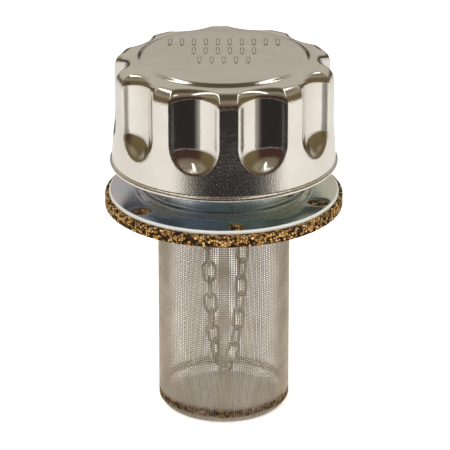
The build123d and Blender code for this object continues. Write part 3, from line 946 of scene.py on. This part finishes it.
# ---- Floor, cards and light -------------------------------------------------------------------
# A pale sweep under soft light, with a dark card on the floor in front for the chrome to mirror.
def reckon(tree, operation, *values):
    """Output of a Math node on sockets or numbers."""
    node = add_node(tree, "ShaderNodeMath", operation=operation)
    for socket, value in zip(node.inputs, values):
        if isinstance(value, (int, float)):
            socket.default_value = value
        else:
            tree.links.new(value, socket)
    return node.outputs[0]


def soft_step(tree, value, start, stop):
    """0 at start, rising softly to 1 at stop, on either side of it."""
    node = add_node(tree, "ShaderNodeMapRange", interpolation_type="SMOOTHSTEP")
    node.inputs["From Min"].default_value = start
    node.inputs["From Max"].default_value = stop
    tree.links.new(value, node.inputs["Value"])
    return node.outputs[0]


def flat_card(name, corners, material):
    card = mesh_piece(name, corners, [tuple(range(len(corners)))], material)
    card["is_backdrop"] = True
    return card


floor_z = cad_low.z - 0.1 * mm
floor_reach = 3
floor_material, floor_tree, floor_shader = new_material("pale_floor", Base_Color=(0.82, 0.81, 0.79, 1),
                                                        Roughness=0.9, Specular_IOR_Level=0.0)
floor_path = add_node(floor_tree, "ShaderNodeLightPath")
floor_seen = reckon(floor_tree, "MULTIPLY", floor_path.outputs["Is Camera Ray"], 0.5)
floor_glow = reckon(floor_tree, "MULTIPLY_ADD", floor_path.outputs["Is Glossy Ray"], 0.02, floor_seen)
floor_tint = ramp_node(floor_tree, ((0.0, (0.86, 0.82, 0.74)), (1.0, (1.0, 1.0, 1.0))))
floor_tree.links.new(floor_path.outputs["Is Camera Ray"], floor_tint.inputs[0])
floor_tree.links.new(floor_tint.outputs[0], floor_shader.inputs["Emission Color"])
floor_tree.links.new(floor_glow, floor_shader.inputs["Emission Strength"])
flat_card("floor", [(floor_reach * x, floor_reach * y, floor_z)
                    for x, y in ((-1, -1), (1, -1), (1, 1), (-1, 1))], floor_material)

# The card fans out from the object, and fades to the floor's tone at its sides and its near end.
card_left, card_right = radians(-41), radians(54)
card_near, card_far = 0.16, 2.9
card_z = floor_z + 1 * mm
card_material, card_tree, card_shader = new_material("dark_card", Roughness=0.9, Specular_IOR_Level=0.0,
                                                     Base_Color=(0.012, 0.011, 0.011, 1))
card_coords = add_node(card_tree, "ShaderNodeTexCoord")
card_split = add_node(card_tree, "ShaderNodeSeparateXYZ")
card_tree.links.new(card_coords.outputs["Object"], card_split.inputs[0])
card_front = reckon(card_tree, "MULTIPLY", card_split.outputs["Y"], -1)
card_turn = reckon(card_tree, "ARCTAN2", card_split.outputs["X"], card_front)
card_sides = reckon(card_tree, "MULTIPLY",
                    soft_step(card_tree, card_turn, card_left, card_left + radians(20)),
                    soft_step(card_tree, card_turn, card_right, card_right - radians(22)))
card_dark = reckon(card_tree, "MULTIPLY", card_sides,
                   soft_step(card_tree, card_front, card_near, card_near + 0.11))
card_shade = ramp_node(card_tree, ((0.0, (0.40, 0.38, 0.34)), (1.0, (0.016, 0.015, 0.0155))))
card_path = add_node(card_tree, "ShaderNodeLightPath")
card_tree.links.new(card_dark, card_shade.inputs[0])
card_tree.links.new(card_shade.outputs[0], card_shader.inputs["Emission Color"])
card_tree.links.new(card_path.outputs["Is Glossy Ray"], card_shader.inputs["Emission Strength"])
dark_card = flat_card("dark_card", [(reach * sin(turn), -reach * cos(turn), card_z)
                                    for reach, turn in ((card_near, card_left), (card_far, card_left),
                                                        (card_far, card_right), (card_near, card_right))],
                      card_material)
dark_card.visible_camera = False
dark_card.visible_shadow = False
dark_card.visible_diffuse = False


def soft_light(name, place, target, size, power, colour):
    data = bpy.data.lights.new(name, "AREA")
    data.shape = "RECTANGLE"
    data.size, data.size_y = size
    data.energy = power
    data.color = colour
    light = bpy.data.objects.new(name, data)
    light.location = place
    light.rotation_euler = (Vector(target) - Vector(place)).to_track_quat("-Z", "Y").to_euler()
    light.visible_glossy = False
    bpy.context.scene.collection.objects.link(light)
    return light


soft_light("key", (-0.55, -0.75, 0.95), (0, 0, 0), (0.5, 0.5), 7, (1.0, 0.98, 0.95))
soft_light("fill", (0.8, -0.45, 0.7), (0, 0, 0), (0.5, 0.5), 4, (1.0, 0.97, 0.93))

# The room around it, by height and by bearing: a brown wall in front, olive ones at the sides,
# a pale one behind, and a long white softbox high up on the left and on the right.
world = bpy.data.worlds.new("studio")
world.use_nodes = True
bpy.context.scene.world = world
sky = world.node_tree
sky.nodes.clear()
sky_link = sky.links.new


def sky_band(value, low, full_low, full_high, high):
    """1 between full_low and full_high, falling softly to 0 at low and at high."""
    return reckon(sky, "MULTIPLY", soft_step(sky, value, low, full_low),
                  soft_step(sky, value, high, full_high))


def sky_mix(factor, first, second):
    node = add_node(sky, "ShaderNodeMix", (0, 0), data_type="RGBA")
    sky_link(factor, node.inputs["Factor"])
    sky_link(first, node.inputs["A"])
    if isinstance(second, tuple):
        node.inputs["B"].default_value = (*second, 1)
    else:
        sky_link(second, node.inputs["B"])
    return node.outputs["Result"]


def sky_wall(stops):
    """Colour of one wall by height, from (degrees above the floor, colour) stops."""
    wall = ramp_node(sky, [((degrees + 90) / 180, colour) for degrees, colour in stops])
    sky_link(sky_height, wall.inputs[0])
    return wall.outputs[0]


sky_coords = add_node(sky, "ShaderNodeTexCoord")
sky_split = add_node(sky, "ShaderNodeSeparateXYZ")
sky_link(sky_coords.outputs["Generated"], sky_split.inputs[0])
sky_up = reckon(sky, "MULTIPLY", reckon(sky, "ARCSINE", sky_split.outputs["Z"]), 180 / pi)
sky_height = reckon(sky, "MULTIPLY_ADD", sky_up, 1 / 180, 0.5)
sky_front = reckon(sky, "MULTIPLY", sky_split.outputs["Y"], -1.0)
sky_turn = reckon(sky, "MULTIPLY", reckon(sky, "ARCTAN2", sky_split.outputs["X"], sky_front), 180 / pi)
sky_aside = reckon(sky, "ABSOLUTE", sky_turn)
front_wall = sky_wall(((-2, (0.07, 0.035, 0.028)), (24, (0.07, 0.035, 0.028)), (32, (0.20, 0.16, 0.11)),
                       (58, (0.30, 0.26, 0.20)), (72, (0.12, 0.095, 0.06)), (90, (0.10, 0.08, 0.05))))
side_wall = sky_wall(((-2, (0.20, 0.15, 0.075)), (28, (0.16, 0.12, 0.06)), (40, (0.34, 0.30, 0.22)),
                      (62, (0.17, 0.14, 0.09)), (90, (0.08, 0.065, 0.04))))
back_wall = sky_wall(((-2, (0.06, 0.05, 0.04)), (7, (0.09, 0.07, 0.05)),
                      (13, (0.52, 0.48, 0.41)), (36, (0.60, 0.565, 0.50)),
                      (48, (0.40, 0.36, 0.29)), (68, (0.12, 0.095, 0.06)), (90, (0.10, 0.08, 0.05))))
walls = sky_mix(sky_band(sky_aside, 35, 60, 110, 135), front_wall, side_wall)
walls = sky_mix(sky_band(sky_aside, 110, 135, 180, 181), walls, back_wall)
sky_level = reckon(sky, "MAXIMUM", sky_split.outputs["Z"], 0.02)
sky_reach = reckon(sky, "DIVIDE", sky_front, sky_level)
sky_side = reckon(sky, "DIVIDE", reckon(sky, "ABSOLUTE", sky_split.outputs["X"]), sky_level)
softboxes = reckon(sky, "MULTIPLY", sky_band(sky_reach, -0.7, -0.6, 0.9, 1.0),
                   sky_band(sky_side, 0.36, 0.39, 0.52, 0.55))
walls = sky_mix(softboxes, walls, (2.2, 2.15, 2.05))

around = add_node(sky, "ShaderNodeBackground", Strength=1.0)
white = add_node(sky, "ShaderNodeBackground", Strength=1.0, Color=(1, 1, 1, 1))
soft = add_node(sky, "ShaderNodeBackground", Strength=0.75, Color=(1.0, 0.98, 0.95, 1))
sky_path = add_node(sky, "ShaderNodeLightPath")
sky_metal = add_node(sky, "ShaderNodeMixShader")
sky_all = add_node(sky, "ShaderNodeMixShader")
sky_out = add_node(sky, "ShaderNodeOutputWorld")
sky_link(walls, around.inputs["Color"])
sky_link(sky_path.outputs["Is Glossy Ray"], sky_metal.inputs[0])
sky_link(soft.outputs[0], sky_metal.inputs[1])
sky_link(around.outputs[0], sky_metal.inputs[2])
sky_link(sky_path.outputs["Is Camera Ray"], sky_all.inputs[0])
sky_link(sky_metal.outputs[0], sky_all.inputs[1])
sky_link(white.outputs[0], sky_all.inputs[2])
sky_link(sky_all.outputs[0], sky_out.inputs[0])

bpy.context.scene.view_settings.view_transform = "Standard"

low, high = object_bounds()
